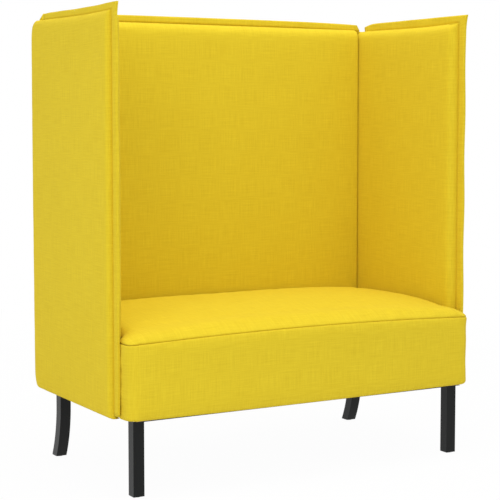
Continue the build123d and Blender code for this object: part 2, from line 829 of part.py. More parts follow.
# Wing pads and covers
wing_frame_space = trimmed_board((wing_frame_inner, wing_frame_outer), wing_length, (frame_bottom, frame_top))
wing_lip_space = board((wing_frame_inner, welt_inner_x), (wing_front_edge, back_frame_front),
                       (pad_bottom, pad_top))
wing_inner_plane = Plane(origin=(welt_inner_x, 0, 0), x_dir=(0, -1, 0), z_dir=(-1, 0, 0))
wing_outer_plane = Plane(origin=(welt_outer_x, 0, 0), x_dir=(0, 1, 0), z_dir=(1, 0, 0))


def wing_inner(skin):
    """Inner pad of a wing, from the seat rail to the welt, with its lips over the frame's edges."""
    with BuildPart() as pad:
        add(puffed_pad(wing_inner_plane, (-back_frame_front, -wing_front_edge, pad_bottom, pad_top),
                       welt_inner_x - inside_x - pad_crown, (0, wing_inner_roll, pad_corner, wing_inner_roll),
                       (pad_square_corner, pad_corner, pad_corner, pad_square_corner), skin))
        add(wing_frame_space, mode=Mode.SUBTRACT)
    return pad.part


def wing_outer(skin):
    """Outer pad of a wing; it wraps the frame's rear end with a large rounded corner."""
    corners = (pad_corner, wing_low_rear_round, wing_top_rear_round, pad_corner)
    bounds = (wing_front_edge, rear_y, seat_underside, pad_top)
    base = (bounds[0] + skin, bounds[1] - skin, bounds[2] + skin, bounds[3] - skin)
    with BuildPart() as pad:
        extrude(pad_face(wing_outer_plane, base, corners, pad_top_dip),
                amount=-(welt_outer_x - wing_frame_inner - soft_gap))
        add(puffed_pad(wing_outer_plane, bounds, outer_x - welt_outer_x - pad_crown,
                       (wing_outer_roll, 0, wing_outer_roll, wing_outer_roll), corners, skin))
        with BuildSketch(Plane.XY) as plan:
            with Locations(((wing_frame_inner + outer_x - skin) / 2 - wing_rear_corner / 2, 0)):
                Rectangle(outer_x - skin - wing_frame_inner + wing_rear_corner, overall_depth - 2 * skin)
            fillet(plan.vertices().group_by(Axis.X)[-1], wing_rear_corner - skin)
        extrude(amount=overall_height, mode=Mode.INTERSECT)
        add(wing_frame_space, mode=Mode.SUBTRACT)
        add(wing_lip_space, mode=Mode.SUBTRACT)
        add(wing_welt.part, mode=Mode.SUBTRACT)
    return pad.part


with BuildPart() as wing_inner_foam:
    add(wing_inner(cover_thickness))
write_pair(wing_inner_foam, "wing_inner_foam")
with BuildPart() as wing_inner_cover:
    add(wing_inner(0))
    add(wing_inner_foam.part, mode=Mode.SUBTRACT)
write_pair(wing_inner_cover, "wing_inner_cover")
with BuildPart() as wing_outer_foam:
    add(wing_outer(cover_thickness))
write_pair(wing_outer_foam, "wing_outer_foam")
with BuildPart() as wing_outer_cover:
    add(wing_outer(0))
    add(wing_outer_foam.part, mode=Mode.SUBTRACT)
write_pair(wing_outer_cover, "wing_outer_cover")
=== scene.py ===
from math import pi, radians

import bmesh
import bpy
import numpy as np
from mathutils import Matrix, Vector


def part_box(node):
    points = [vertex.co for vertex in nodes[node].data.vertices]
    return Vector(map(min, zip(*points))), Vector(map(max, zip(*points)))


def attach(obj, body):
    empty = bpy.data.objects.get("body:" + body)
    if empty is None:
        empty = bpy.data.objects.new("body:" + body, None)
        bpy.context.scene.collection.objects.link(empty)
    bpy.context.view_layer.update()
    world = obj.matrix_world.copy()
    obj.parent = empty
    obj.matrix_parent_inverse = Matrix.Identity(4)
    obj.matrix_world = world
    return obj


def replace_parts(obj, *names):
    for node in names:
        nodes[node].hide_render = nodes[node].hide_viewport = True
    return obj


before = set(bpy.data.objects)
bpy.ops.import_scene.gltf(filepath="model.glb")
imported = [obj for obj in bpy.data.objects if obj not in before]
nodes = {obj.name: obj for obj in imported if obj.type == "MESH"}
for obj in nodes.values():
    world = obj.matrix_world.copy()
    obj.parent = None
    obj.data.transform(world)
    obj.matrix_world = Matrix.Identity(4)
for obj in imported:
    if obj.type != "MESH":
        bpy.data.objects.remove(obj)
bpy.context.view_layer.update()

# ---- Camera ----
# It stands in front of the settee's left wing at a seated person's eye height. Its lens is long,
# and it looks almost level, so that the uprights stay upright.
camera_place = (-2.1184, -3.6728, 1.0051)
camera_tilt = 85.6875
camera_heading = -29.7456
film_width = 36
lens_length = 103.78
frame_shift = -0.05
camera = bpy.data.objects.new("camera", bpy.data.cameras.new("camera"))
bpy.context.scene.collection.objects.link(camera)
camera.location = camera_place
camera.rotation_euler = (radians(camera_tilt), 0, radians(camera_heading))
camera.data.sensor_width = film_width
camera.data.lens = lens_length
camera.data.shift_y = frame_shift
bpy.context.scene.camera = camera
bpy.context.scene.view_settings.view_transform = "Standard"

# ---- Studio: floor, air and lamps ----
# A plain white floor that runs into a white room. It keeps the settee's soft shadow. One wide lamp
# hangs in front and to the left, a second one straight above, and the room gives the rest of the light.
floor_reach = 9.0
floor_points = 96
floor_grey = (0.80, 0.80, 0.80, 1)
floor_roughness = 0.9
white = (1, 1, 1, 1)
shadow_reach = (1.6, 3.4)
floor_shine = 0.97
room_strength = 0.75
lamps = {"softbox": ((-2.8, -2.3, 2.2), 3.0, 33), "overhead": ((0.1, -0.5, 4.6), 2.4, 84)}


def node(tree, kind, inputs=(), **settings):
    """One shader node. Settings are its properties, and inputs go by name: a value, or a socket to link."""
    made = tree.nodes.new(kind)
    for name, value in settings.items():
        setattr(made, name, value)
    for name, value in dict(inputs).items():
        if isinstance(value, bpy.types.NodeSocket):
            tree.links.new(value, made.inputs[name])
        else:
            made.inputs[name].default_value = value
    return made


def either(tree, first, second):
    """Socket that is 1 where either of two socket values is 1."""
    return node(tree, "ShaderNodeMath", {0: first, 1: second}, operation="MAXIMUM").outputs[0]


def seen_directly(tree):
    """Socket that is 1 for the camera, mirror reflections and glass, and 0 for soft light."""
    path = node(tree, "ShaderNodeLightPath")
    mirrored = either(tree, path.outputs["Is Glossy Ray"], path.outputs["Is Transmission Ray"])
    return either(tree, path.outputs["Is Camera Ray"], mirrored)


room = bpy.data.worlds.new("white_room")
room.use_nodes = True
bpy.context.scene.world = room
air = room.node_tree
soft_light = node(air, "ShaderNodeBackground", {"Color": white, "Strength": room_strength})
white_light = node(air, "ShaderNodeBackground", {"Color": white, "Strength": 1.0})
air_mix = node(air, "ShaderNodeMixShader", {0: seen_directly(air), 1: soft_light.outputs[0],
                                            2: white_light.outputs[0]})
air.links.new(air_mix.outputs[0], air.nodes["World Output"].inputs["Surface"])

floor_mesh = bpy.data.meshes.new("floor")
turns = np.linspace(0, 2 * pi, floor_points, endpoint=False)
rim = np.stack([np.cos(turns), np.sin(turns), 0 * turns], 1) * floor_reach
floor_mesh.from_pydata(rim.tolist(), [], [list(range(len(rim)))])
floor = bpy.data.objects.new("floor", floor_mesh)
bpy.context.scene.collection.objects.link(floor)

paint = bpy.data.materials.new("white_floor")
paint.use_nodes = True
tree = paint.node_tree
place = node(tree, "ShaderNodeTexCoord").outputs["Object"]
distance = node(tree, "ShaderNodeVectorMath", {0: place}, operation="LENGTH").outputs["Value"]
fade = node(tree, "ShaderNodeMapRange", {"Value": distance, "From Min": shadow_reach[0],
                                         "From Max": shadow_reach[1], "To Min": floor_shine, "To Max": 1.0},
            interpolation_type="SMOOTHSTEP").outputs["Result"]
share = node(tree, "ShaderNodeMath", {0: fade, 1: seen_directly(tree)}, operation="MULTIPLY").outputs[0]
matt = tree.nodes["Principled BSDF"]
matt.inputs["Base Color"].default_value = floor_grey
matt.inputs["Roughness"].default_value = floor_roughness
glow = node(tree, "ShaderNodeEmission", {"Color": white, "Strength": 1.0})
floor_mix = node(tree, "ShaderNodeMixShader", {0: share, 1: matt.outputs[0], 2: glow.outputs[0]})
tree.links.new(floor_mix.outputs[0], tree.nodes["Material Output"].inputs["Surface"])
floor_mesh.materials.append(paint)

for name, (lamp_place, lamp_size, lamp_watts) in lamps.items():
    lamp_light = bpy.data.lights.new(name, "AREA")
    lamp_light.shape = "DISK"
    lamp_light.size = lamp_size
    lamp_light.energy = lamp_watts
    lamp = bpy.data.objects.new(name, lamp_light)
    bpy.context.scene.collection.objects.link(lamp)
    lamp.location = lamp_place
    lamp_aim = -lamp.location.normalized()
    lamp.rotation_euler = lamp_aim.to_track_quat("-Z", "Y").to_euler()

# ---- Carcass timber ----
# Rails, posts and corner blocks of planed softwood, glued and bolted. They are inside the pads and
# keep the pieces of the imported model, in a pale wood with growth rings and a few darker streaks.
timber_parts = [name for name in nodes if name.endswith(("_rail", "_post", "_blocks"))]
pine_middle = (0.62, 0.42, 0.22)
pine_pale = (0.66, 0.47, 0.26)
pine_dark = (0.47, 0.29, 0.13)
pine_roughness = 0.62
pore_scale = 90.0
pore_depth = 0.0004
grain_along = (0.6, 8.0, 8.0)
grain_upright = (8.0, 8.0, 0.6)


def new_material(name, colour, roughness):
    """A material and its node tree, with the shader's uniform roughness and first colour set."""
    material = bpy.data.materials.new(name)
    material.use_nodes = True
    shader = material.node_tree.nodes["Principled BSDF"]
    shader.inputs["Base Color"].default_value = (*colour, 1)
    shader.inputs["Roughness"].default_value = roughness
    return material, material.node_tree, shader


def coloured(tree, shader, share, low, high):
    """Links the shader's colour to a mix from low to high by a socket that runs from 0 to 1."""
    mix = node(tree, "ShaderNodeMix", {"Factor": share, "A": (*low, 1), "B": (*high, 1)}, data_type="RGBA")
    tree.links.new(mix.outputs["Result"], shader.inputs["Base Color"])


def embossed(tree, shader, height, strength, depth):
    """Raises the surface by a height socket; depth is the bump's real size in metres."""
    bump = node(tree, "ShaderNodeBump", {"Height": height, "Strength": strength, "Distance": depth})
    tree.links.new(bump.outputs["Normal"], shader.inputs["Normal"])


def stretched(tree, scale):
    """Object coordinates in metres, multiplied along each axis."""
    place = node(tree, "ShaderNodeTexCoord").outputs["Object"]
    return node(tree, "ShaderNodeMapping", {"Vector": place, "Scale": scale}).outputs["Vector"]


def noise(tree, vector, scale, detail=3.0, roughness=0.5):
    """Noise socket from 0 to 1 over a vector socket."""
    made = node(tree, "ShaderNodeTexNoise", {"Vector": vector, "Scale": scale, "Detail": detail,
                                             "Roughness": roughness})
    return made.outputs["Fac"]


def dress(names, material):
    """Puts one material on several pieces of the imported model."""
    for name in names:
        nodes[name].data.materials.clear()
        nodes[name].data.materials.append(material)


def timber(name, grain_scale):
    """Planed pine: rings as a warped wave across the grain, fine pores along it."""
    material, tree, shader = new_material(name, pine_middle, pine_roughness)
    along = stretched(tree, grain_scale)
    rings = node(tree, "ShaderNodeTexWave", {"Vector": along, "Scale": 5.0, "Distortion": 5.0, "Detail": 3.0})
    pores = noise(tree, along, pore_scale, 4.0)
    share = node(tree, "ShaderNodeMath", {0: rings.outputs["Fac"], 1: pores}, operation="MULTIPLY").outputs[0]
    coloured(tree, shader, share, pine_pale, pine_dark)
    embossed(tree, shader, pores, 0.3, pore_depth)
    return material


lengthwise = [name for name in timber_parts if "seat" in name or "back_" in name and "post" not in name]
upright = [name for name in timber_parts if name not in lengthwise]
dress(lengthwise, timber("pine_along", grain_along))
dress(upright, timber("pine_upright", grain_upright))

# ---- Boards ----
# Thin hardboard on both faces of the back and the wings, stapled to the timber. The pads are glued
# to it. It is brown pressed fibre, smooth and a little mottled.
board_parts = [name for name in nodes if name.endswith("_board")]
board_pale = (0.36, 0.21, 0.10)
board_dark = (0.22, 0.12, 0.055)
fibre_scale = 420.0
fibre_depth = 0.0002
even = (1, 1, 1)
hardboard, tree, shader = new_material("hardboard", (0.30, 0.17, 0.08), 0.55)
fibres = noise(tree, stretched(tree, even), fibre_scale, 5.0, 0.7)
coloured(tree, shader, fibres, board_pale, board_dark)
embossed(tree, shader, fibres, 0.25, fibre_depth)
dress(board_parts, hardboard)

# ---- Springs and fixings ----
# Zigzag springs of hard drawn wire in folded clips, and the zinc plated plates, studs, screws, bolts
# and threaded sleeves that hold the legs, the seat, the back and the wings together.
plated_parts = ["spring_clips", "leg_plates", "leg_studs", "plate_screws", "seat_to_wing_bolts",
                "seat_to_back_bolts", "back_to_wing_bolts", "threaded_inserts"]
zinc_dull, zinc_bright = (0.52, 0.52, 0.50), (0.70, 0.70, 0.68)
wire_dull, wire_bright = (0.20, 0.20, 0.21), (0.33, 0.33, 0.34)
zinc_roughness, wire_roughness = 0.34, 0.42
cloud_scale = 60.0
scratch_scale = 1800.0
scratch_stretch = (1, 1, 0.05)
scratch_depth = 0.00008


def steel(name, low, high, roughness):
    """Bare or plated steel: cloudy tone, fine scratches in the bump."""
    material, tree, shader = new_material(name, low, roughness)
    shader.inputs["Metallic"].default_value = 1.0
    clouds = noise(tree, stretched(tree, even), cloud_scale, 4.0)
    scratches = noise(tree, stretched(tree, scratch_stretch), scratch_scale, 2.0)
    coloured(tree, shader, clouds, low, high)
    embossed(tree, shader, scratches, 0.2, scratch_depth)
    return material


dress(plated_parts, steel("zinc_plate", zinc_dull, zinc_bright, zinc_roughness))
dress(["seat_springs"], steel("spring_wire", wire_dull, wire_bright, wire_roughness))

# ---- Legs and glides ----
# Four square solid wood legs under black lacquer: the front ones straight, the rear ones sawn to a
# backward sweep. Each stands on a round nylon glide that is pressed into its foot.
leg_parts = ["leg_front_left", "leg_front_right", "leg_rear_left", "leg_rear_right"]
black_deep = (0.003, 0.0035, 0.0033)
black_light = (0.007, 0.0078, 0.0074)
lacquer_specular = 0.20
leg_grain_stretch = (1.0, 1.0, 0.06)
leg_grain_depth = 0.00015
nylon_dark = (0.045, 0.045, 0.047)
nylon_light = (0.07, 0.07, 0.072)
speckle_depth = 0.00005
lacquer, tree, shader = new_material("black_lacquer", (0.004, 0.0045, 0.0043), 0.30)
shader.inputs["Specular IOR Level"].default_value = lacquer_specular
leg_grain = noise(tree, stretched(tree, leg_grain_stretch), 240.0, 3.0)
coloured(tree, shader, leg_grain, black_deep, black_light)
embossed(tree, shader, leg_grain, 0.10, leg_grain_depth)
dress(leg_parts, lacquer)

nylon, tree, shader = new_material("nylon", (0.05, 0.05, 0.052), 0.5)
speckle = noise(tree, stretched(tree, even), 900.0, 2.0)
coloured(tree, shader, speckle, nylon_dark, nylon_light)
embossed(tree, shader, speckle, 0.1, speckle_depth)
dress(["leg_glides"], nylon)

# ---- Cover cloth ----
# Heavy woven upholstery cloth in a yellow melange: every thread is spun from slightly lighter and
# darker fibres, so that faint streaks run along the weft and the warp. All covers are cut from it.
cloth_deep = (0.672, 0.486, 0.019)
cloth_light = (0.822, 0.640, 0.035)
thread_pitch = 0.0014
streak_stretches = ((14, 420, 1), (420, 14, 1))
slow_scale = 6.0
slow_share = 0.12
melange_range = (0.68, 1.44)
streak_height = 0.8
weave_depth = 0.00035


def melange(name):
    """The cloth's material. It reads the attribute cloth: metres along the weft and along the warp.

    The weave is sin(u) sin(v), with half a wave to a thread. The streaks are noise drawn out along one
    thread direction at a time, and a slow noise varies the whole.
    """
    material, tree, shader = new_material(name, cloth_light, 0.88)
    shader.inputs["Specular IOR Level"].default_value = 0.05
    shader.inputs["Sheen Weight"].default_value = 0.03
    shader.inputs["Sheen Roughness"].default_value = 0.5
    place = node(tree, "ShaderNodeAttribute", attribute_name="cloth").outputs["Vector"]
    split = node(tree, "ShaderNodeSeparateXYZ", {0: place})
    waves = []
    for axis in (0, 1):
        turn = node(tree, "ShaderNodeMath", {0: split.outputs[axis], 1: pi / thread_pitch},
                    operation="MULTIPLY").outputs[0]
        waves.append(node(tree, "ShaderNodeMath", {0: turn}, operation="SINE").outputs[0])
    weave = node(tree, "ShaderNodeMath", {0: waves[0], 1: waves[1]}, operation="MULTIPLY").outputs[0]
    streaks = []
    for scale in streak_stretches:
        drawn = node(tree, "ShaderNodeMapping", {"Vector": place, "Scale": scale}).outputs["Vector"]
        streaks.append(noise(tree, drawn, 1.0, 4.0, 0.6))
    both = node(tree, "ShaderNodeMath", {0: streaks[0], 1: streaks[1]}, operation="ADD").outputs[0]
    slow = noise(tree, place, slow_scale, 2.0)
    mixed = node(tree, "ShaderNodeMath", {0: slow, 1: slow_share, 2: both},
                 operation="MULTIPLY_ADD").outputs[0]
    share = node(tree, "ShaderNodeMapRange", {"Value": mixed, "From Min": melange_range[0],
                                              "From Max": melange_range[1]}).outputs[0]
    coloured(tree, shader, share, cloth_deep, cloth_light)
    rough = node(tree, "ShaderNodeMath", {0: both, 1: streak_height, 2: weave},
                 operation="MULTIPLY_ADD").outputs[0]
    embossed(tree, shader, rough, 0.35, weave_depth)
    return material


cover_cloth = melange("yellow_melange")

# ---- Pads of the back ----
# One large foam panel on each face of the back, under one piece of cloth. The cloth's edges roll over
# to a seam against the welt, and the panel has a low round crown.
roll_rows = 9
firm_length = 0.4
firm_share = 0.75
panel_step = 0.012
seam_tuck = 0.15
sewn_rings = 2
cloth_seed = 7
cloth_jitter = 0.0002
cloth_pressure = 4.0
cloth_excess = 0.012
cloth_frames = 20
weld_distance = 1e-5


def ellipse(depth, roll):
    """Height of a quarter ellipse at a depth from its edge: √(1 - (1 - d/r)²), and 1 beyond it."""
    return np.sqrt(1 - (1 - np.clip(depth / roll, 0, 1)) ** 2)


def rolled_line(start, end, start_roll, end_roll, step=panel_step, tuck=0.0, firm=1.0):
    """Places from start to end, and how far out the pad stands there, from 0 to 1.

    A roll of length r has its places at r (1 - cos a) from the edge, for even angles a. It stands as a
    mix of two quarter ellipses: a short one of length firm r, and a long one of length r. Between the
    rolls the pad stands 1. A tuck runs on into the seam.
    """
    angles = np.linspace(0, pi / 2, roll_rows)
    drawn = 1 - np.cos(angles)
    rise = firm_share * ellipse(drawn, firm) + (1 - firm_share) * ellipse(drawn, 1.0)
    first = start + start_roll * drawn
    last = end - end_roll * drawn[::-1]
    count = max(2, round(abs(last[0] - first[-1]) / step)) + 1
    middle = np.linspace(first[-1], last[0], count)[1:-1]
    places = np.concatenate([first, middle, last])
    stands = np.concatenate([rise, np.ones(len(middle)), rise[::-1]])
    if tuck:
        places = np.concatenate([places[:1], places, places[-1:]])
        stands = np.concatenate([[-tuck], stands, [-tuck]])
    return places, stands


def round_corner(across, up, corner, radius):
    """Draws a grid in near one corner of its outline, so that the corner is a quarter circle.

    a and b run from 0 at the radius to 1 at the edges, and become a √(1 - b²/2) and b √(1 - a²/2).
    """
    a = np.clip(1 - np.abs(across - corner[0]) / radius, 0, 1)
    b = np.clip(1 - np.abs(up - corner[1]) / radius, 0, 1)
    across = across + np.sign(across.mean() - corner[0]) * radius * a * (1 - np.sqrt(1 - b**2 / 2))
    up = up + np.sign(up.mean() - corner[1]) * radius * b * (1 - np.sqrt(1 - a**2 / 2))
    return across, up


def cloth_lengths(outer):
    """Metres along the rows and the columns of a grid of points, as two more grids."""
    along = np.zeros(outer.shape[:2])
    up = np.zeros(outer.shape[:2])
    along[1:] = np.cumsum(np.linalg.norm(np.diff(outer, axis=0), axis=2), 0)
    up[:, 1:] = np.cumsum(np.linalg.norm(np.diff(outer, axis=1), axis=2), 1)
    return np.broadcast_to(along.mean(1)[:, None], along.shape), np.broadcast_to(up.mean(0), up.shape)


def grid_faces(rows, columns):
    """Quads of a grid whose points are numbered row by row."""
    index = np.arange(rows * columns).reshape(rows, columns)
    return np.stack([index[:-1, :-1], index[1:, :-1], index[1:, 1:], index[:-1, 1:]], -1).reshape(-1, 4)


def puffed(outer, centre, reach):
    """A grid of points after Blender's cloth solver has filled it.

    Two rings of points along the rim are sewn down. The rest swells under pressure, and the cloth is
    cut a little too large, so that it puckers along its seams. A move of length d becomes
    reach tanh(d / reach).
    """
    rows, columns = outer.shape[:2]
    points = outer.reshape(-1, 3)
    faces = grid_faces(rows, columns)
    corners = points[faces]
    normals = np.cross(corners[:, 2] - corners[:, 0], corners[:, 3] - corners[:, 1])
    if np.sum(normals * (corners.mean(1) - centre)) < 0:
        faces = faces[:, ::-1]
    free = np.zeros((rows, columns), bool)
    free[sewn_rings:-sewn_rings, sewn_rings:-sewn_rings] = True
    free = free.ravel()
    start = points + free[:, None] * np.random.default_rng(cloth_seed).normal(0, cloth_jitter, points.shape)
    mesh = bpy.data.meshes.new("swelling")
    mesh.from_pydata(start, [], faces.tolist())
    swelling = bpy.data.objects.new("swelling", mesh)
    bpy.context.scene.collection.objects.link(swelling)
    swelling.vertex_groups.new(name="sewn").add(np.flatnonzero(~free).tolist(), 1.0, "REPLACE")
    cloth = swelling.modifiers.new("cloth", "CLOTH").settings
    cloth.quality = 4
    cloth.mass = 0.3
    cloth.tension_stiffness = cloth.compression_stiffness = 15
    cloth.shear_stiffness = 5
    cloth.bending_stiffness = 0.5
    cloth.use_pressure = True
    cloth.uniform_pressure_force = cloth_pressure
    cloth.shrink_min = -cloth_excess
    cloth.effector_weights.gravity = 0
    cloth.vertex_group_mass = "sewn"
    for step in range(1, cloth_frames + 1):
        bpy.context.scene.frame_set(step)
    solved = swelling.evaluated_get(bpy.context.evaluated_depsgraph_get()).data
    moved = np.empty(len(solved.vertices) * 3, np.float32)
    solved.vertices.foreach_get("co", moved)
    bpy.context.scene.frame_set(1)
    bpy.data.objects.remove(swelling)
    bpy.data.meshes.remove(mesh)
    move = moved.reshape(-1, 3) - points
    length = np.maximum(np.linalg.norm(move, axis=1), 1e-9)[:, None]
    move = move / length * reach * np.tanh(length / reach) * free[:, None]
    return (points + move).reshape(outer.shape)


def cloth_piece(name, points, faces, lengths, material, weld=0.0):
    """A piece of cloth from its points and faces. The attribute cloth holds metres along the threads.
    Points closer than the weld are joined, and the faces are turned outwards."""
    mesh = bpy.data.meshes.new(name)
    mesh.from_pydata(points, [], faces)
    threads = mesh.attributes.new("cloth", "FLOAT_VECTOR", "POINT")
    threads.data.foreach_set("vector", lengths.astype(np.float32).ravel())
    piece = bpy.data.objects.new(name, mesh)
    bpy.context.scene.collection.objects.link(piece)
    shape = bmesh.new()
    shape.from_mesh(mesh)
    if weld:
        bmesh.ops.remove_doubles(shape, verts=shape.verts, dist=weld)
    bmesh.ops.recalc_face_normals(shape, faces=shape.faces)
    shape.to_mesh(mesh)
    shape.free()
    mesh.materials.append(material)
    mesh.shade_smooth()
    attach(piece, "root")
    return piece


def closed_pad(name, outer, low, high, material, slot):
    """A pad as one closed skin: the outer grid of points, the same grid clamped to the box of the
    frame that it sits on, and a wall of faces round their rims. Its cloth attribute holds metres."""
    rows, columns = outer.shape[:2]
    inner = np.clip(outer, low, high)
    points = np.concatenate([outer.reshape(-1, 3), inner.reshape(-1, 3)])
    index = np.arange(rows * columns).reshape(rows, columns)
    face = grid_faces(rows, columns)
    rim = np.concatenate([index[0, :-1], index[:-1, -1], index[-1, :0:-1], index[:0:-1, 0]])
    after = np.roll(rim, -1)
    behind = rows * columns
    wall = np.stack([rim, after, after + behind, rim + behind], -1)
    faces = np.concatenate([face, face[:, ::-1] + behind, wall])
    u, v = cloth_lengths(outer)
    lengths = np.stack([u, v, 0 * u], -1).reshape(-1, 3)
    pad = cloth_piece(name, points, faces.tolist(), np.concatenate([lengths, lengths]), material,
                      weld_distance)
    smooth = pad.modifiers.new("smooth", "SUBSURF")
    smooth.levels = 1
    smooth.render_levels = 1
    return pad


back_low, back_high = (np.array(corner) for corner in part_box("back_inner_board"))
back_high[1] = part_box("back_outer_board")[1][1]
inner_low, inner_high = (np.array(corner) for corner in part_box("back_inner_cover"))
outer_low, outer_high = (np.array(corner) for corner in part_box("back_outer_cover"))
welt_low, welt_high = (np.array(corner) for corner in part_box("back_welt"))
back_lift = 0.004
inner_high[2] += back_lift
outer_high[2] += back_lift
pad_crown = 0.003
crown_power = 0.6
panel_corner = 0.004
inner_rolls = (0.010, 0.02, 0.065)
outer_rolls = (0.020, 0.018, 0.055)
outer_end_stand = 0.42
inner_swell = 0.005
outer_swell = 0.004
end_clearance = 0.0012
end_depths = (0.2925, 0.2855, 0.2775)


def crown(rows, columns, power=crown_power):
    """How round a panel is, from 0 at its edges to 1 in its middle: a product of two half waves."""
    across = np.sin(pi * np.linspace(0, 1, rows)) ** power
    up = np.sin(pi * np.linspace(0, 1, columns)) ** power
    return across[:, None] * up[None, :]


def back_panel(low, high, seam, face, rolls, corner, end_stand=0.0):
    """Outer grid of a back pad: x along its rows, z along its columns, standing from seam to face in y.
    At its two ends it already stands by a share of that."""
    x, x_stand = rolled_line(low[0], high[0], rolls[0], rolls[0], firm=firm_length)
    x_stand = end_stand + (1 - end_stand) * x_stand
    z, z_stand = rolled_line(low[2], high[2], rolls[1], rolls[2], tuck=seam_tuck, firm=firm_length)
    across, up = np.meshgrid(x, z, indexing="ij")
    stand = x_stand[:, None] * z_stand[None, :]
    for side in (low[0], high[0]):
        across, up = round_corner(across, up, (side, high[2]), corner)
    reach = face - seam
    crowned = crown(len(x), len(z))
    y = seam + stand * (reach - np.sign(reach) * pad_crown * (1 - crowned))
    return np.stack([across, y, up], -1)


inner_face = back_panel(inner_low, inner_high, welt_low[1], inner_low[1], inner_rolls, panel_corner)
back_centre = (back_low + back_high) / 2
inner_face = puffed(inner_face, back_centre, inner_swell)
back_inner = closed_pad("back_inner_pad", inner_face, back_low, back_high, cover_cloth, "cover_cloth")
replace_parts(back_inner, "back_inner_cover", "back_inner_foam")

outer_face = back_panel(outer_low, outer_high, welt_high[1], outer_high[1], outer_rolls, panel_corner,
                        outer_end_stand)
underside = outer_face[:, :1].copy()
underside[:, 0, 1] = back_low[1]
outer_face = puffed(np.concatenate([underside, outer_face], 1), back_centre, outer_swell)
for side in (-1, 1):
    end = np.repeat(outer_face[:1] if side < 0 else outer_face[-1:], len(end_depths), 0)
    end[..., 0] = side * (back_high[0] + end_clearance)
    end[..., 1] = np.array(end_depths)[:, None]
    outer_face = np.concatenate([end[::-1], outer_face] if side < 0 else [outer_face, end])
outer_face[:len(end_depths) + 1, :, 0] = -back_high[0] - end_clearance
outer_face[-len(end_depths) - 1:, :, 0] = back_high[0] + end_clearance
back_outer = closed_pad("back_outer_pad", outer_face, back_low, back_high, cover_cloth, "cover_cloth")
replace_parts(back_outer, "back_outer_cover", "back_outer_foam")

# ---- Inner pads of the wings ----
# A thinner foam panel on the inside of each wing, from under the seat's crown to the top. Its front
# edge is a deep soft roll beside the welt, and its rear edge stops in the corner with the back.
wing_low, wing_high = (np.array(corner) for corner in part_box("right_wing_outer_board"))
wing_low[0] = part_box("right_wing_inner_board")[0][0]
lining_low, lining_high = (np.array(corner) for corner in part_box("right_wing_inner_cover"))
flange_low, flange_high = (np.array(corner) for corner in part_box("right_wing_welt"))
lining_rolls = (0.050, 0.003, 0.02, 0.060)
lining_corner = 0.010
top_dip = 0.004
dip_skew = 0.66
dip_power = 1.5
dip_fade = 6
flange_thickness = 0.0065
flange_middle = (flange_low[0] + flange_high[0]) / 2
wing_edge = -0.233
shell_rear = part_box("right_wing_outer_cover")[1][1]
wing_centre = (wing_low + wing_high) / 2
sides = (("right", 1), ("left", -1))


def seam_dip(y):
    """How far the seam under a wing's top flange hangs: a half wave, deepest near the front."""
    share = np.clip((y - wing_edge) / (shell_rear - wing_edge), 0, 1)
    return top_dip * np.sin(pi * share**dip_skew) ** dip_power


def lining_grid():
    """Outer grid of the right wing's inner pad: y along its rows, z along its columns, x inwards."""
    y, y_stand = rolled_line(wing_edge, lining_high[1], lining_rolls[0], lining_rolls[1], tuck=seam_tuck,
                             firm=firm_length)
    z, z_stand = rolled_line(lining_low[2], lining_high[2], lining_rolls[2], lining_rolls[3], tuck=seam_tuck,
                             firm=firm_length)
    along, up = np.meshgrid(y, z, indexing="ij")
    stand = y_stand[:, None] * z_stand[None, :]
    height = np.clip((up - lining_low[2]) / (lining_high[2] - lining_low[2]), 0, 1)
    up = up - seam_dip(along) * height**dip_fade
    along, up = round_corner(along, up, (lining_high[1], lining_high[2]), lining_corner)
    crowned = crown(len(y), len(z))
    seam = flange_middle - flange_thickness / 2
    x = seam + stand * (lining_low[0] - seam + pad_crown * (1 - crowned))
    return np.stack([x, along, up], -1)


def mirrored(points, side):
    """The right wing's points, or their mirror image for the left wing."""
    return points * np.array([side, 1, 1])


def frame_box(low, high, side):
    """A frame's box corners on the right, or mirrored to the left."""
    ends = np.sort(np.array([low[0], high[0]]) * side)
    return np.array([ends[0], low[1], low[2]]), np.array([ends[1], high[1], high[2]])


lining = puffed(lining_grid(), wing_centre, inner_swell)
for word, side in sides:
    pad = closed_pad(f"{word}_wing_inner_pad", mirrored(lining, side), *frame_box(wing_low, wing_high, side),
                     cover_cloth, "cover_cloth")
    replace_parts(pad, f"{word}_wing_inner_cover", f"{word}_wing_inner_foam")

# ---- Outer pads of the wings ----
# The widest panel: it covers the wing's outside, wraps its rear end in one round corner and closes
# under its foot. At the top it is sewn to the welt, and behind the welt it folds over the frame.
shell_low, shell_high = (np.array(corner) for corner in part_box("right_wing_outer_cover"))
wrap_radius = 0.035
foot_round = 0.054
head_round = 0.044
shell_rolls = (0.022, 0.022, 0.060)
shell_crown_power = 0.4
wrap_rows = 12
no_roll = 0.0001
lid_start = (flange_high[1] - 0.012, flange_high[1] + 0.016)
lid_drop = 0.0015
skin_gap = 0.0004
post_wrap = 0.023
post_stand = 0.0012
joint_gap = 0.0003
joint_depths = (0.004, 0.018, 0.034)
lining_overlap = 0.002


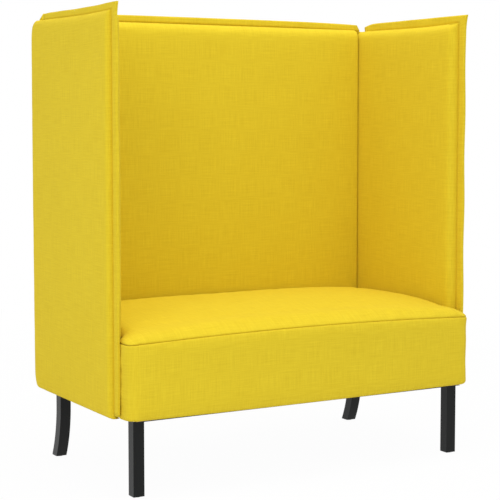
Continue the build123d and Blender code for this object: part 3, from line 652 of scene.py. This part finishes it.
def shell_grid():
    """Outer grid of the right wing's outer pad. Rows follow the plan: forward seam, face, round rear
    corner. Columns climb: underside, roll, face, roll, and the fold over the top.

    A point s along the plan past the corner's start turns by (s - start) / radius. The rear end is
    drawn in at the foot and the head by r - √(r² - (r - h)²) for the height h from that end.
    """
    wrap_start = shell_high[1] - wrap_radius
    wrap_centre = shell_high[0] - wrap_radius
    wrap_end = np.arccos((shell_low[0] - wrap_centre) / wrap_radius)
    s = rolled_line(wing_edge, wrap_start, shell_rolls[0], no_roll)[0]
    angles = np.linspace(0, wrap_end, wrap_rows)[1:]
    s = np.concatenate([s[:-roll_rows + 1], wrap_start + wrap_radius * angles])
    front = np.clip((s - wing_edge) / shell_rolls[0], 0, 1)
    s_stand = firm_share * ellipse(front, firm_length) + (1 - firm_share) * ellipse(front, 1.0)
    z, z_stand = rolled_line(shell_low[2], shell_high[2], shell_rolls[1], shell_rolls[2], firm=firm_length)
    plan, up = np.meshgrid(s, z, indexing="ij")
    reach = shell_high[0] - flange_middle - flange_thickness / 2
    stand = s_stand[:, None] * z_stand[None, :]
    crowned = crown(len(s), len(z), shell_crown_power)
    dent = reach * (1 - stand) + stand * pad_crown * (1 - crowned)
    turn = np.clip((plan - wrap_start) / wrap_radius, 0, None)
    x = wrap_centre + (wrap_radius - dent) * np.cos(turn)
    y = np.minimum(plan, wrap_start) + (wrap_radius - dent) * np.sin(turn)
    lift = np.clip((up - shell_low[2]) / (shell_high[2] - shell_low[2]), 0, 1)
    up = up - seam_dip(y) * lift**dip_fade
    for level, radius in ((shell_low[2], foot_round), (shell_high[2], head_round)):
        gap = np.clip(radius - np.abs(up - level), 0, radius)
        drawn = (radius - np.sqrt(radius**2 - gap**2)) / radius
        start = shell_high[1] - radius
        y = np.where(y > start, start + (y - start) * (1 - drawn), y)
    grid = np.stack([x, y, up], -1)
    under = grid[:, 0].copy()
    under[:, 0] = shell_low[0]
    ease = np.clip((grid[:, -1, 1] - lid_start[0]) / (lid_start[1] - lid_start[0]), 0, 1)
    ease = ease**2 * (3 - 2 * ease)
    fold = grid[:, -1].copy()
    fold[:, 0] = flange_middle * (1 - ease) + shell_low[0] * ease
    fold[:, 2] -= lid_drop
    return np.concatenate([under[:, None], grid, fold[:, None]], 1)


def wrapped(grid):
    """The outer pad's grid with its cloth carried on round the frame: at the front over the post to the
    inside, and at the rear down into the joint with the back pad."""
    rows = []
    for x, y in ((wing_low[0] - skin_gap, wing_low[1] + post_wrap),
                 (wing_low[0] + post_stand, wing_low[1] - skin_gap), (flange_middle, wing_edge)):
        row = grid[0].copy()
        row[:, 0], row[:, 1] = x, y
        rows.append(row)
    rear = []
    for depth in joint_depths:
        row = grid[-1].copy()
        row[:, 0] = wing_low[0] - joint_gap
        row[:, 1] = np.maximum(row[:, 1] - depth, np.minimum(row[:, 1], lining_high[1] - lining_overlap))
        rear.append(row)
    return np.concatenate([np.array(rows), grid, np.array(rear)])


shell = wrapped(puffed(shell_grid(), wing_centre, outer_swell))
for word, side in sides:
    pad = closed_pad(f"{word}_wing_outer_pad", mirrored(shell, side), *frame_box(wing_low, wing_high, side),
                     cover_cloth, "cover_cloth")
    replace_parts(pad, f"{word}_wing_outer_cover", f"{word}_wing_outer_foam")

# ---- Seat border ----
# The upright band round the seat's front and front corners. It is sewn to the top cover in a seam
# that arches up in the middle, and it turns under the seat frame, where it is stapled.
seat_low, seat_high = (np.array(corner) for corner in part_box("seat_border_cover"))
seat_half = 0.5585
shoulder_y = -0.238
seat_high[:2] = (seat_half, shoulder_y)
core_low, core_high = (np.array(corner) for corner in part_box("seat_felt"))
core_low[2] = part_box("seat_front_rail")[0][2]
core_height = 0.1380
core_high[2] = core_low[2] + core_height
seat_bow = 0.012
seat_corner = 0.030
seam_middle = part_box("seat_border_cover")[1][2]
seam_arch = 0.014
seam_end = seam_middle - seam_arch
under_turns = [0.042, 0.028]
foot_roll = 0.012
face_rows = 14
edge_start = 0.008
edge_heights = np.array([-0.006, -0.003, -0.0004, -0.0012])
seam_draw = 0.004
seam_reach = 0.002
seam_inset = 0.007
corner_rows = 9
front_points = 42
border_swell = 0.003


def seat_plan():
    """The seat's outline from its left shoulder round the front to its right one, with its outward
    normals: straight side, quarter circle, front bowed as a parabola, quarter circle, side."""
    half = seat_high[0]
    corner_y = seat_low[1] + seat_bow
    side_y = np.linspace(seat_high[1], corner_y + seat_corner, 5)[:-1]
    angles = np.linspace(0, pi / 2, corner_rows)
    turn_x = half - seat_corner + seat_corner * np.cos(angles)
    turn_y = corner_y + seat_corner - seat_corner * np.sin(angles)
    front_x = np.linspace(half - seat_corner, 0, front_points)[1:]
    right_x = np.concatenate([np.full(len(side_y), half), turn_x, front_x])
    right_y = np.concatenate([side_y, turn_y, np.full(len(front_x), corner_y)])
    bow = seat_bow * (1 - (np.clip(right_x / half, 0, 1)) ** 2)
    ahead = np.clip((seat_high[1] - right_y) / (seat_high[1] - corner_y), 0, 1)
    right = np.stack([right_x, right_y - bow * ahead], 1)
    left = right[-2::-1] * np.array([-1, 1])
    outline = np.concatenate([right, left])[::-1]
    step = np.gradient(outline, axis=0)
    normal = np.stack([step[:, 1], -step[:, 0]], 1)
    return outline, normal / np.linalg.norm(normal, axis=1)[:, None]


def seam_height(x):
    """Height of the seam between border and top cover: a parabola, highest in the middle."""
    return seam_middle - (seam_middle - seam_end) * (x / seat_high[0]) ** 2


def border_grid():
    """Outer grid of the border: the plan along its rows, and along its columns the stapled underside,
    the foot's roll, the upright face, and the edge that turns in to the seam."""
    outline, normal = seat_plan()
    angles = np.linspace(0, pi / 2, roll_rows)
    inset = np.concatenate([under_turns, foot_roll * (1 - np.sin(angles)), np.zeros(face_rows),
                            [0.0, 0, 0, seam_inset]])
    foot_z = seat_low[2] + foot_roll * (1 - np.cos(angles))
    top = seam_height(outline[:, 0])
    share = np.linspace(0, 1, face_rows + 2)[1:-1]
    middle = foot_z[-1] + share[None, :] * (top[:, None] - edge_start - foot_z[-1])
    low = np.broadcast_to(np.concatenate([[seat_low[2], seat_low[2]], foot_z]), (len(top), roll_rows + 2))
    edge = top[:, None] + edge_heights
    z = np.concatenate([low, middle, edge], 1)
    rise = np.maximum(top[:, None] - z, 0)
    drawn = inset[None, :] + seam_draw * np.exp(-rise / seam_reach)
    x = outline[:, :1] - normal[:, :1] * drawn
    y = outline[:, 1:] - normal[:, 1:] * drawn
    return np.stack([x, y, z], -1)


core_centre = (core_low + core_high) / 2
band_face = puffed(border_grid(), core_centre, border_swell)
border = closed_pad("seat_border", band_face, core_low, core_high, cover_cloth, "cover_cloth")
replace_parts(border, "seat_border_cover", "seat_border_foam")

# ---- Seat pad ----
# One deep foam block under a crowned top cover. It rolls down to the border's seam in front, is wider
# than the gap between the wings in front of them, and runs back between the wings to the back pad.
top_low, top_high = (np.array(corner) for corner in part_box("seat_top_cover"))
neck_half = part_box("seat_felt")[1][0]
crown_y = -0.010
rear_drop = 0.007
front_drop = 0.014
side_drop = 0.022
front_roll = 0.095
box_side_roll = 0.055
neck_side_roll = 0.014
rear_roll = 0.006
seat_step = 0.010
seat_points = 88
bow_fade = 0.2
seam_lip = 0.0012


def seat_grid():
    """Outer grid of the seat pad: x along its rows, y along its columns, z the crowned height.

    The top is an arc from front to rear less a drop with the cube of x, and it comes down to the seam
    as a quarter ellipse at the front and the sides. At the wings' fronts the half width follows the
    quarter ellipse of the inner pads' front rolls.
    """
    angles = np.linspace(0, pi / 2, corner_rows)
    middle = np.linspace(-1, 1, seat_points)
    zero = np.zeros(len(middle) - 2)
    share = np.concatenate([-np.ones(corner_rows), middle[1:-1], np.ones(corner_rows)])
    edge = np.concatenate([-np.cos(angles), zero, np.cos(angles[::-1])])
    x_stand = np.concatenate([np.sin(angles), zero + 1, np.sin(angles[::-1])])
    y, y_stand = rolled_line(top_low[1], top_high[1], front_roll, rear_roll, seat_step)
    past = y - shoulder_y
    shoulder = firm_share * ellipse(past, firm_length * lining_rolls[0]) + (1 - firm_share) * ellipse(
        past, lining_rolls[0])
    half = seat_high[0] * (1 - shoulder) + neck_half * shoulder
    roll = box_side_roll * (1 - shoulder) + neck_side_roll * shoulder
    x = share[:, None] * (half - roll)[None, :] + edge[:, None] * roll[None, :]
    along = np.broadcast_to(y, x.shape)
    reach = np.abs(x) / seat_high[0]
    front_y = top_low[1] + seat_bow * reach**2
    fade = np.clip(1 - (along - top_low[1]) / bow_fade, 0, 1)
    along = along + (front_y - top_low[1]) * fade
    ahead = np.clip((crown_y - along) / (crown_y - top_low[1] - front_roll), 0, 1)
    behind = np.clip((along - crown_y) / (top_high[1] - crown_y), 0, 1)
    top = top_high[2] - front_drop * ahead**2 - rear_drop * behind**2 - side_drop * reach**3
    seam = seam_height(x)
    stand = x_stand[:, None] * y_stand[None, :]
    z = seam + (top - seam) * stand
    for side in (-1, 1):
        corner = (side * seat_high[0], top_low[1] + seat_bow)
        x, along = round_corner(x, along, corner, seat_corner)
    crease = seam_draw * np.exp(-(z - seam) / seam_reach)
    x = x - np.sign(x) * crease * (1 - x_stand[:, None]) ** 2
    along = along + crease * (1 - y_stand[None, :]) ** 2 * (along < 0)
    grid = np.stack([x, along, z], -1)
    front = grid[:, :1].copy()
    front[..., 1] += seam_inset
    front[..., 2] -= seam_lip
    grid = np.concatenate([front, grid], 1)
    ends = [grid[:1].copy(), grid[-1:].copy()]
    for end, side in zip(ends, (-1, 1)):
        end[..., 0] -= side * seam_inset
        end[..., 2] -= seam_lip
    return np.concatenate([ends[0], grid, ends[1]])


cushion_high = core_high.copy()
cushion_high[2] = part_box("seat_felt")[0][2]
seat_top = puffed(seat_grid(), core_centre, inner_swell)
seat = closed_pad("seat_pad", seat_top, core_low, cushion_high, cover_cloth, "cover_cloth")
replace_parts(seat, "seat_top_cover", "seat_foam", "seat_felt")

# ---- Welts ----
# Flat bands of the same cloth round a strip of wadding, sewn into the joint between the pads. On each
# wing the band runs along the top and down the front, and meets in a pointed ear that leans forwards.
ear_reach = 0.008
ear_size = 0.03
ear_up_steps = np.array([0.25, 0.45, 0.62, 0.76, 0.87, 0.95])
ear_back_steps = np.array([0.05, 0.13, 0.24, 0.38, 0.55, 0.75])
front_points_up = 90
top_points_back = 46
welt_round = 9
band_rise = (-0.4, 0.8, 17)
band_edge = 0.22
band_half = 0.47
lean_power = 1.5
end_run = 0.06
ripple_height = 0.0012
ripple_waves = (40, 23)
flange_tip = -0.262
flange_ends = {"right": (0.257, 0.009, 0.006), "left": (0.232, 0.003, 0.0)}
flange_sag = {"right": 0.0, "left": 0.8}
flange_lift = {"right": 0.004, "left": 0.0}
seam_pinch = 0.32
pinch_reach = 0.14
back_flange_lift = 0.0075
back_overhang = 0.002
back_droop = 0.005
back_points = 100
back_slant = 0.014
slant_run = (0.05, 0.04)
back_ripple = (0.0008, 31)
sewing_gap = 0.0004


def band_profile(thickness, reveal):
    """Cross-section of a padded band as two columns: across it and outwards. A half ellipse closes its
    outer edge, and the thread pinches it at its seam by p e^(-(r/w)²) for the rise r above the seam."""
    turns = np.linspace(0, pi, welt_round)
    rise = np.linspace(*band_rise)
    side_across = 0.5 - seam_pinch * np.exp(-(rise / pinch_reach) ** 2)
    across = np.concatenate([-side_across, -band_half * np.cos(turns), side_across[::-1]])
    edge = reveal - band_edge * thickness + band_edge * thickness * np.sin(turns)
    out = np.concatenate([rise * reveal, edge, rise[::-1] * reveal])
    return across * thickness, out


def swept_band(name, base, outward, lean, thickness, reveal, ends):
    """A band along a base line: at each of its points the profile stands along that point's outward
    vector, moved sideways by lean. Both ends are closed with flat caps."""
    across, out = band_profile(thickness, 1.0)
    along = outward[:, None, :] * (out[None, :, None] * reveal[:, None, None])
    side = np.broadcast_to(across[None, :, None], along.shape[:2] + (1,)) * lean["axis"]
    raised = (np.clip(out, 0, 1) ** lean_power)[None, :, None]
    shift = raised * (lean["amount"][:, None, None] * lean["axis"])
    points = base[:, None, :] + along + side + shift + ends[:, None, :] * np.clip(out, 0, 1)[None, :, None]
    rows, columns = points.shape[:2]
    index = np.arange(rows * columns).reshape(rows, columns)
    beside = np.roll(index, -1, 1)
    face = np.stack([index[:-1], index[1:], beside[1:], beside[:-1]], -1).reshape(-1, 4)
    caps = [index[0].tolist(), index[-1, ::-1].tolist()]
    u, v = cloth_lengths(points)
    lengths = np.stack([u, v, 0 * u], -1)
    return cloth_piece(name, points.reshape(-1, 3), face.tolist() + caps, lengths, cover_cloth)


def wing_band(word, side):
    """The flange of one wing: up its front edge, round the ear and back along its top."""
    rear_end, droop, overhang = flange_ends[word]
    front_base, top_base = wing_edge, shell_high[2]
    front_reveal = front_base - flange_tip
    top_reveal = flange_high[2] - top_base
    ear_foot = top_base - ear_size
    rise = np.concatenate([np.linspace(flange_low[2], ear_foot, front_points_up),
                           ear_foot + ear_size * ear_up_steps])
    run = np.concatenate([ear_size * ear_back_steps,
                          np.linspace(ear_size, rear_end - front_base, top_points_back)])
    up_line = np.stack([0 * rise + flange_middle, 0 * rise + front_base, rise], 1)
    corner = np.array([[flange_middle, front_base, top_base]])
    top_line = np.stack([0 * run + flange_middle, front_base + run, 0 * run + top_base], 1)
    base = np.concatenate([up_line, corner, top_line])
    near = np.clip(1 - np.linalg.norm(base - corner, axis=1) / ear_size, 0, 1)
    up_share = np.concatenate([near[:len(rise)] ** 2, [1], 1 + 0 * run])
    front_share = np.concatenate([1 + 0 * rise, [1], near[len(rise) + 1:] ** 2])
    outward = np.stack([0 * near, -front_share * front_reveal, up_share * top_reveal], 1)
    outward[:, 1] -= ear_reach * near**3
    ripple = ripple_height * np.sin(base[:, 1] * ripple_waves[0] + base[:, 2] * ripple_waves[1])
    lean = {"axis": np.array([side, 0, 0]), "amount": ripple}
    base[:, 0] *= side
    ends = np.zeros_like(base)
    late = np.clip((base[:, 1] - rear_end + end_run) / end_run, 0, 1)
    ends[:, 1] = overhang * late
    dip = seam_dip(base[:, 1]) * (base[:, 2] > top_base - 0.001)
    base[:, 2] -= dip + droop * late**2
    outward[:, 2] += dip * (1 - flange_sag[word]) + flange_lift[word] * up_share
    return swept_band(f"{word}_wing_flange", base, outward, lean, flange_thickness, 0 * near + 1, ends)


for word, side in sides:
    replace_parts(wing_band(word, side), f"{word}_wing_welt")

back_run = np.linspace(-welt_high[0] - back_overhang, welt_high[0] + back_overhang, back_points)
back_middle = (welt_low[1] + welt_high[1]) / 2
back_base = np.stack([back_run, 0 * back_run + back_middle, 0 * back_run + outer_high[2]], 1)
back_base[:, 2] -= back_droop * (back_run / welt_high[0]) ** 4
back_reveal = welt_high[2] + back_flange_lift - outer_high[2]
back_up = np.stack([0 * back_run, 0 * back_run, 0 * back_run + back_reveal], 1)
back_ends = np.zeros_like(back_base)
slanted = np.clip((np.abs(back_run) - welt_high[0] + slant_run[0]) / slant_run[1], 0, 1)
back_ends[:, 0] = -back_slant * slanted * np.sign(back_run)
back_lean = {"axis": np.array([0, 1, 0]), "amount": back_ripple[0] * np.sin(back_run * back_ripple[1])}
back_thickness = welt_high[1] - welt_low[1] - sewing_gap
back_flange = swept_band("back_flange", back_base, back_up, back_lean, back_thickness, 0 * back_run + 1,
                         back_ends)
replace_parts(back_flange, "back_welt")

# ---- Dust cover ----
# Thin black felted cloth stapled under the seat frame. It hangs a few millimetres between the rails
# and is cut out round the four leg plates.
dust_low, dust_high = (np.array(corner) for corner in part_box("dust_cover"))
plates_low, plates_high = (np.array(corner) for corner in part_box("leg_plates"))
plate_side = 0.0612
dust_sag = 0.004
dust_thickness = 0.0008
cut_slack = 0.0006
edge_lines = 5


def cut_lines(low, high, first, last, count):
    """Grid lines from low to high, with a line on each of two notch edges."""
    return np.concatenate([np.linspace(low, first, edge_lines)[:-1], np.linspace(first, last, count)[:-1],
                           np.linspace(last, high, edge_lines)])


dust_x = cut_lines(dust_low[0], dust_high[0], plates_low[0] + plate_side, plates_high[0] - plate_side, 60)
dust_y = cut_lines(dust_low[1], dust_high[1], plates_low[1] + plate_side, plates_high[1] - plate_side, 32)
across, along = np.meshgrid(dust_x, dust_y, indexing="ij")
hang = np.sin(pi * (across - dust_low[0]) / (dust_high[0] - dust_low[0]))
hang = hang * np.sin(pi * (along - dust_low[1]) / (dust_high[1] - dust_low[1]))
dust_points = np.stack([across, along, dust_high[2] - dust_thickness - dust_sag * np.sqrt(np.abs(hang))], -1)
index = np.arange(across.size).reshape(across.shape)
dust_faces = np.stack([index[:-1, :-1], index[:-1, 1:], index[1:, 1:], index[1:, :-1]], -1).reshape(-1, 4)
middle = dust_points.reshape(-1, 3)[dust_faces].mean(1)
in_x = np.abs(middle[:, 0]) > plates_high[0] - plate_side
in_front = (middle[:, 1] > plates_low[1] - cut_slack) & (middle[:, 1] < plates_low[1] + plate_side)
in_rear = (middle[:, 1] > plates_high[1] - plate_side) & (middle[:, 1] < plates_high[1] + cut_slack)
dust_faces = dust_faces[~(in_x & (in_front | in_rear))]
dust_mesh = bpy.data.meshes.new("dust_cloth_sheet")
dust_mesh.from_pydata(dust_points.reshape(-1, 3), [], dust_faces.tolist())
dust = bpy.data.objects.new("dust_cloth_sheet", dust_mesh)
bpy.context.scene.collection.objects.link(dust)
loose = bmesh.new()
loose.from_mesh(dust_mesh)
bmesh.ops.delete(loose, geom=[vertex for vertex in loose.verts if not vertex.link_faces], context="VERTS")
loose.to_mesh(dust_mesh)
loose.free()
thick = dust.modifiers.new("thickness", "SOLIDIFY")
thick.thickness = dust_thickness
black_felt, tree, shader = new_material("black_dust_cloth", (0.022, 0.022, 0.024), 0.95)
felt_dark = (0.016, 0.016, 0.018)
felt_light = (0.040, 0.040, 0.043)
fuzz_depth = 0.0003
fuzz = noise(tree, stretched(tree, even), 700.0, 4.0, 0.7)
coloured(tree, shader, fuzz, felt_dark, felt_light)
embossed(tree, shader, fuzz, 0.4, fuzz_depth)
dust_mesh.materials.append(black_felt)
dust_mesh.shade_smooth()
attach(dust, "root")
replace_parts(dust, "dust_cover")
